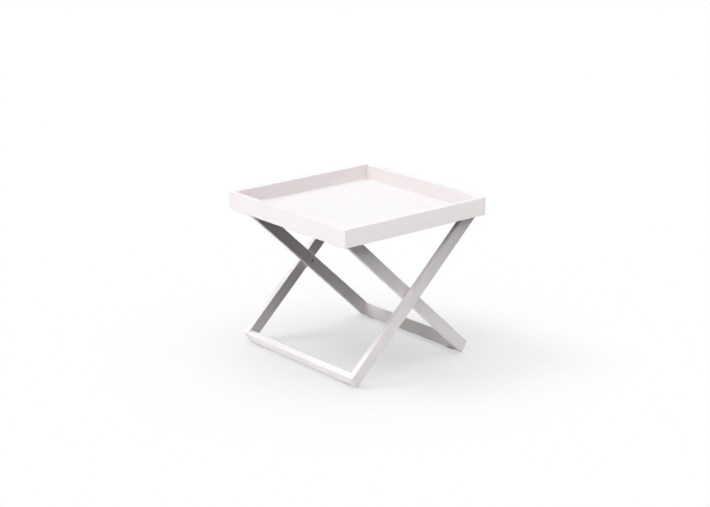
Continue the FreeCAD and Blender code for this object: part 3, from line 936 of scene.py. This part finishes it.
# %% The turned part tree: profile
TURN = 2.0 * math.pi
SIXTH = math.pi / 3.0
SHARP_ANGLE = math.radians(32.0)
NO_FLATS = 1e-6


def profile_value(tree, carrier, row, name, kind="FLOAT"):
    """A value of the profile's point with the given number."""
    if name == "position":
        field = add_node(tree, "GeometryNodeInputPosition").outputs[0]
    else:
        field = add_node(tree, "GeometryNodeInputNamedAttribute", {"Name": name}, data_type=kind).outputs[0]
    sample = add_node(tree, "GeometryNodeSampleIndex", data_type=kind, domain="POINT")
    join(tree, carrier, sample.inputs["Geometry"])
    join(tree, field, sample.inputs["Value"])
    join(tree, row, sample.inputs["Index"])
    return sample.outputs[0]


def turned_solid(tree, given):
    """Turns the profile round the z axis, with its flats and teeth."""
    size = add_node(tree, "GeometryNodeAttributeDomainSize", component="MESH")
    join(tree, given["Geometry"], size.inputs[0])
    rows = size.outputs["Point Count"]
    sheet = add_node(tree, "GeometryNodeMeshGrid")
    join(tree, calc(tree, "ADD", given["Segments"], 1.0), sheet.inputs["Vertices X"])
    join(tree, rows, sheet.inputs["Vertices Y"])
    index = add_node(tree, "GeometryNodeInputIndex").outputs[0]
    row = calc(tree, "MODULO", index, rows)
    column = calc(tree, "FLOOR", calc(tree, "DIVIDE", calc(tree, "ADD", index, 0.5), rows))
    angle = calc(tree, "DIVIDE", calc(tree, "MULTIPLY", column, TURN), given["Segments"])

    place = add_node(tree, "ShaderNodeSeparateXYZ")
    join(tree, profile_value(tree, given["Geometry"], row, "position", "FLOAT_VECTOR"), place.inputs[0])
    radius = place.outputs["X"]
    flats = profile_value(tree, given["Geometry"], row, "flats")
    knurl = profile_value(tree, given["Geometry"], row, "knurl")
    lean = calc(tree, "COSINE", calc(tree, "WRAP", angle, SIXTH / 2.0, -SIXTH / 2.0))
    hexagon = calc(tree, "DIVIDE", calc(tree, "MULTIPLY", flats, 0.5), lean)
    round_part = calc(tree, "MULTIPLY", calc(tree, "LESS_THAN", flats, NO_FLATS), 1.0)
    limit = calc(tree, "ADD", hexagon, round_part)
    milled = calc(tree, "MINIMUM", radius, limit)
    tooth = calc(tree, "COSINE", calc(tree, "MULTIPLY", angle, given["Teeth"]))
    cut = calc(tree, "MULTIPLY", calc(tree, "MULTIPLY_ADD", tooth, 0.5, 0.5), knurl)
    final = calc(tree, "SUBTRACT", milled, cut)

    spot = add_node(tree, "ShaderNodeCombineXYZ")
    join(tree, calc(tree, "MULTIPLY", final, calc(tree, "COSINE", angle)), spot.inputs["X"])
    join(tree, calc(tree, "MULTIPLY", final, calc(tree, "SINE", angle)), spot.inputs["Y"])
    join(tree, place.outputs["Z"], spot.inputs["Z"])
    shaped = add_node(tree, "GeometryNodeSetPosition")
    join(tree, sheet.outputs["Mesh"], shaped.inputs["Geometry"])
    join(tree, spot.outputs[0], shaped.inputs["Position"])
    closed = add_node(tree, "GeometryNodeMergeByDistance", {"Distance": MERGE_DISTANCE})
    join(tree, shaped.outputs[0], closed.inputs["Geometry"])
    return closed.outputs[0]


# %% The turned part tree: layout
def laid_out(tree, given, solid):
    """Puts the part on rows around the z axis, each at its own angle."""
    total = calc(tree, "MULTIPLY", given["Row Count"], given["Turns"])
    spots = add_node(tree, "GeometryNodeMeshLine", mode="OFFSET")
    join(tree, total, spots.inputs["Count"])
    index = add_node(tree, "GeometryNodeInputIndex").outputs[0]
    in_row = calc(tree, "MODULO", index, given["Row Count"])
    turn = calc(tree, "FLOOR", calc(tree, "DIVIDE", calc(tree, "ADD", index, 0.5), given["Row Count"]))
    around = calc(tree, "DIVIDE", calc(tree, "MULTIPLY", turn, TURN), given["Turns"])
    half_row = calc(tree, "MULTIPLY", calc(tree, "SUBTRACT", given["Row Count"], 1.0), 0.5)
    place = add_node(tree, "ShaderNodeCombineXYZ")
    from_middle = calc(tree, "SUBTRACT", in_row, half_row)
    join(tree, calc(tree, "MULTIPLY", from_middle, given["Row Spacing"]), place.inputs["X"])
    join(tree, given["Reach"], place.inputs["Y"])
    join(tree, given["Height"], place.inputs["Z"])
    swung = add_node(tree, "ShaderNodeVectorRotate", rotation_type="Z_AXIS")
    join(tree, place.outputs[0], swung.inputs["Vector"])
    join(tree, around, swung.inputs["Angle"])
    placed = add_node(tree, "GeometryNodeSetPosition")
    join(tree, spots.outputs[0], placed.inputs["Geometry"])
    join(tree, swung.outputs[0], placed.inputs["Position"])

    own_angle = add_node(tree, "FunctionNodeRandomValue", {2: 0.0, 3: TURN}, data_type="FLOAT")
    join(tree, given["Seed"], own_angle.inputs["Seed"])
    copies = add_node(tree, "GeometryNodeInstanceOnPoints")
    join(tree, placed.outputs[0], copies.inputs["Points"])
    join(tree, solid, copies.inputs["Instance"])
    made = copies.outputs[0]
    for axis, turned_by in (("Z", own_angle.outputs[1]), ("X", given["Tilt"]), ("Z", around)):
        made = turned_copies(tree, made, axis, turned_by)
    return made


def turned_copies(tree, copies, axis, turned_by):
    """Turns each instance about its own place, round one of the table's axes."""
    angles = add_node(tree, "ShaderNodeCombineXYZ")
    join(tree, turned_by, angles.inputs[axis])
    rotation = add_node(tree, "FunctionNodeEulerToRotation")
    join(tree, angles.outputs[0], rotation.inputs[0])
    own_place = add_node(tree, "GeometryNodeInputPosition").outputs[0]
    node = add_node(tree, "GeometryNodeRotateInstances", {"Local Space": False})
    join(tree, copies, node.inputs["Instances"])
    join(tree, own_place, node.inputs["Pivot Point"])
    join(tree, rotation.outputs[0], node.inputs["Rotation"])
    return node.outputs[0]


# %% The turned part tree: all of it
def turned_part_tree():
    """Turns a profile, keeps its sharp edges and lays the copies out."""
    inputs = {
        "Segments": "Int", "Teeth": "Int", "Row Count": "Int", "Row Spacing": "Float", "Reach": "Float",
        "Height": "Float", "Turns": "Int", "Tilt": "Float", "Seed": "Int", "Finish": "Material",
    }
    tree, given = new_tree("turned_part", inputs)
    solid = turned_solid(tree, given)
    smooth = add_node(tree, "GeometryNodeSetShadeSmooth")
    join(tree, solid, smooth.inputs[0])
    bend = add_node(tree, "GeometryNodeInputMeshEdgeAngle").outputs["Unsigned Angle"]
    creased = add_node(tree, "GeometryNodeSetShadeSmooth", {"Shade Smooth": False}, domain="EDGE")
    join(tree, smooth.outputs[0], creased.inputs[0])
    join(tree, calc(tree, "GREATER_THAN", bend, SHARP_ANGLE), creased.inputs["Selection"])
    close_tree(tree, laid_out(tree, given, creased.outputs[0]), given["Finish"])
    return tree


TURNED_PART = turned_part_tree()
print("tree:", TURNED_PART.name, len(TURNED_PART.nodes), "nodes")

# %% [markdown]
# ## Nuts and studs below the panel
#
# Twelve threaded studs stand under the panel and go through the ledges of the rim, and a nut on each holds
# the panel down. The profiles take their sizes from the CAD nodes that they replace. A thread is a spiral,
# but on a stud this small its slope doesn't show, so the profile is a row of rings. A nut's chamfer needs no
# work of its own: the turned cone and the milled hexagon meet in the curved corners that a real nut has.

# %% Profiles and threads
MM = 0.001
CREST = 0.10
ROOT = 0.55


def turned(name, profile, finish, layout):
    """Makes turned parts from a profile of radius, height, flats and knurl in millimetres."""
    points = [(radius * MM, 0.0, height * MM) for radius, height, flats, knurl in profile]
    edges = [(number, number + 1) for number in range(len(profile) - 1)]
    attributes = {
        "flats": [flats * MM for radius, height, flats, knurl in profile],
        "knurl": [knurl * MM for radius, height, flats, knurl in profile],
    }
    return grow(name, TURNED_PART, points, edges, dict(layout, Finish=finish), attributes)


def thread(start, stop, radius, depth, pitch):
    """Rings of a thread between two heights."""
    rings = []
    for number in range(int((stop - start) / pitch)):
        bottom = start + number * pitch
        rings += [(radius, bottom + CREST * pitch, 0, 0), (radius - depth, bottom + ROOT * pitch, 0, 0)]
    return rings


# %% Nuts
NUT_FLATS = 7.0
NUT_CORNER = 4.1
NUT_FACE = 3.4
NUT_CHAMFER = 0.4
NUT_HOLE = 2.05
NUT_MOUTH = 2.35
STUD_RADIUS = 2.0

stud_low, stud_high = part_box("panel_studs")
nut_low, nut_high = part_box("panel_nuts")
STUD_ROW = {
    "Row Count": 3, "Row Spacing": 0.140, "Reach": stud_high.x - STUD_RADIUS * MM, "Height": 0.0, "Turns": 4,
    "Tilt": 0.0, "Teeth": 0,
}

bottom = nut_low.z / MM
top = nut_high.z / MM
nut_profile = [
    (NUT_MOUTH, bottom, 0, 0), (NUT_FACE, bottom, 0, 0), (NUT_CORNER, bottom + NUT_CHAMFER, NUT_FLATS, 0),
    (NUT_CORNER, top - NUT_CHAMFER, NUT_FLATS, 0), (NUT_FACE, top, 0, 0), (NUT_MOUTH, top, 0, 0),
    (NUT_HOLE, top - NUT_CHAMFER, 0, 0), (NUT_HOLE, bottom + NUT_CHAMFER, 0, 0), (NUT_MOUTH, bottom, 0, 0),
]
nuts = turned("panel_nut_set", nut_profile, FINISHES["stainless"], dict(STUD_ROW, Segments=48, Seed=5))
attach(nuts, "tray")
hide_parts("panel_nuts")

# %% Studs
STUD_TIP = 1.5
STUD_CHAMFER = 0.5
STUD_NECK = 0.8
STUD_PITCH = 0.7
STUD_THREAD_DEPTH = 0.36
STUD_THREAD_START = 0.55
STUD_THREAD_STOP = 0.9

bottom = stud_low.z / MM
top = stud_high.z / MM
stud_profile = [(0, bottom, 0, 0), (STUD_TIP, bottom, 0, 0), (STUD_RADIUS, bottom + STUD_CHAMFER, 0, 0)]
stud_profile += thread(
    bottom + STUD_THREAD_START, top - STUD_THREAD_STOP, STUD_RADIUS, STUD_THREAD_DEPTH, STUD_PITCH
)
stud_profile += [(STUD_RADIUS, top - STUD_NECK, 0, 0), (STUD_RADIUS, top, 0, 0), (0, top, 0, 0)]
studs = turned("panel_stud_set", stud_profile, FINISHES["stainless"], dict(STUD_ROW, Segments=20, Seed=9))
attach(studs, "tray")
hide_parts("panel_studs")

# %% [markdown]
# ## Pivot bolts
#
# The stand turns on two shoulder bolts, put in from the inside. Only their heads show: round, with a knurled
# side, a rounded edge and a hexagon socket. The heads are coated white like the legs. The socket is coloured
# dark, partly as uncoated steel and partly as painted shade of the recess, and that is the small dark dot at
# the crossing of the legs. The turned part tree makes them. Tilted by a right angle, its axis points along
# the table's y axis, so a height in the profile is a distance from the middle of the table. The dark socket
# is a mark of the coat, drawn by distance from that axis.

# %% Coat of the bolts
bolt_low, bolt_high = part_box("pivot_bolts")
PIVOT_HEIGHT = (bolt_low.z + bolt_high.z) / 2
# The socket's dark colour is uncoated steel with painted shade of the recess in it.
SOCKET_STEEL_AND_SHADE = (0.10, 0.10, 0.10, 1.0)
SOCKET_INSIDE = 0.0029
SOCKET_MOUTH = 0.0031


def socket_steel_and_painted_shade(tree, colour, gloss, normal):
    """Dark colour close to the bolts' axis: uncoated steel in the socket with painted shade of its recess."""
    axes = object_axes(tree)
    above = calc(tree, "SUBTRACT", axes["Z"], PIVOT_HEIGHT)
    squares = calc(tree, "MULTIPLY_ADD", axes["X"], axes["X"], calc(tree, "MULTIPLY", above, above))
    steel_and_shade_mask = spread(tree, calc(tree, "SQRT", squares), 1.0, 0.0, SOCKET_INSIDE, SOCKET_MOUTH)
    return tone(tree, steel_and_shade_mask, colour, SOCKET_STEEL_AND_SHADE), gloss, normal


coat_bolt = powder_coat("white_coat_bolt", socket_steel_and_painted_shade)
print("coat:", coat_bolt.name)

# %% Profile of the bolts
head = (bolt_high.x - bolt_low.x) / 2 / MM
bolt_end = bolt_high.y / MM
face = min(abs(v.co.y) for v in nodes["pivot_bolts"].data.vertices) / MM
HEAD_HEIGHT = 5.0
SOCKET_FLATS = 5.0
SOCKET_CORNER = 2.95
SOCKET_DEPTH = 2.5
SHANK = 4.0
SHANK_END = 223.0
THREAD = 3.0
KNURL = 0.22
SOCKET_POINT = 0.6
SOCKET_FLOOR = 2.2
SOCKET_LEAD = 0.25
SOCKET_FLARE = 0.1
# How far in from the side and down from the face the head's rounded edge runs.
HEAD_ROUND = [(0.9, 0.0), (0.42, 0.12), (0.12, 0.42), (0.0, 0.9)]
KNURL_START = 1.1
KNURL_STOP = 0.7
KNURL_RUN_OUT = 0.5
SEAT_CHAMFER = 0.25
SHANK_CHAMFER = 0.3
THREAD_START = 0.3
THREAD_STOP = 0.6
THREAD_DEPTH = 0.55
THREAD_PITCH = 1.0
BOLT_CHAMFER = 0.5

seat = face + HEAD_HEIGHT
floor_of_socket = face + SOCKET_DEPTH
bolt_profile = [
    (0, floor_of_socket + SOCKET_POINT, 0, 0), (SOCKET_FLOOR, floor_of_socket, 0, 0),
    (SOCKET_CORNER, floor_of_socket, SOCKET_FLATS, 0), (SOCKET_CORNER, face + SOCKET_LEAD, SOCKET_FLATS, 0),
    (SOCKET_CORNER + SOCKET_FLARE, face, 0, 0),
]
bolt_profile += [(head - inward, face + down, 0, 0) for inward, down in HEAD_ROUND]
bolt_profile += [
    (head, face + KNURL_START, 0, KNURL), (head, seat - KNURL_STOP, 0, KNURL),
    (head, seat - KNURL_RUN_OUT, 0, 0), (head, seat - SEAT_CHAMFER, 0, 0),
    (head - SEAT_CHAMFER, seat, 0, 0), (SHANK, seat, 0, 0), (SHANK, SHANK_END - SHANK_CHAMFER, 0, 0),
    (SHANK - SHANK_CHAMFER, SHANK_END, 0, 0), (THREAD, SHANK_END, 0, 0),
]
bolt_profile += thread(SHANK_END + THREAD_START, bolt_end - THREAD_STOP, THREAD, THREAD_DEPTH, THREAD_PITCH)
bolt_profile += [
    (THREAD, bolt_end - BOLT_CHAMFER, 0, 0), (THREAD - BOLT_CHAMFER, bolt_end, 0, 0), (0, bolt_end, 0, 0),
]
print("bolt profile:", len(bolt_profile), "points")

# %% Pivot bolts
BOLT_ROW = {
    "Row Count": 1, "Row Spacing": 0.0, "Reach": 0.0, "Height": PIVOT_HEIGHT, "Turns": 2,
    "Tilt": -math.pi / 2, "Teeth": 36, "Segments": 144, "Seed": 4,
}
bolts = turned("pivot_bolt_set", bolt_profile, coat_bolt, BOLT_ROW)
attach(bolts, "outer_frame")
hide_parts("pivot_bolts")
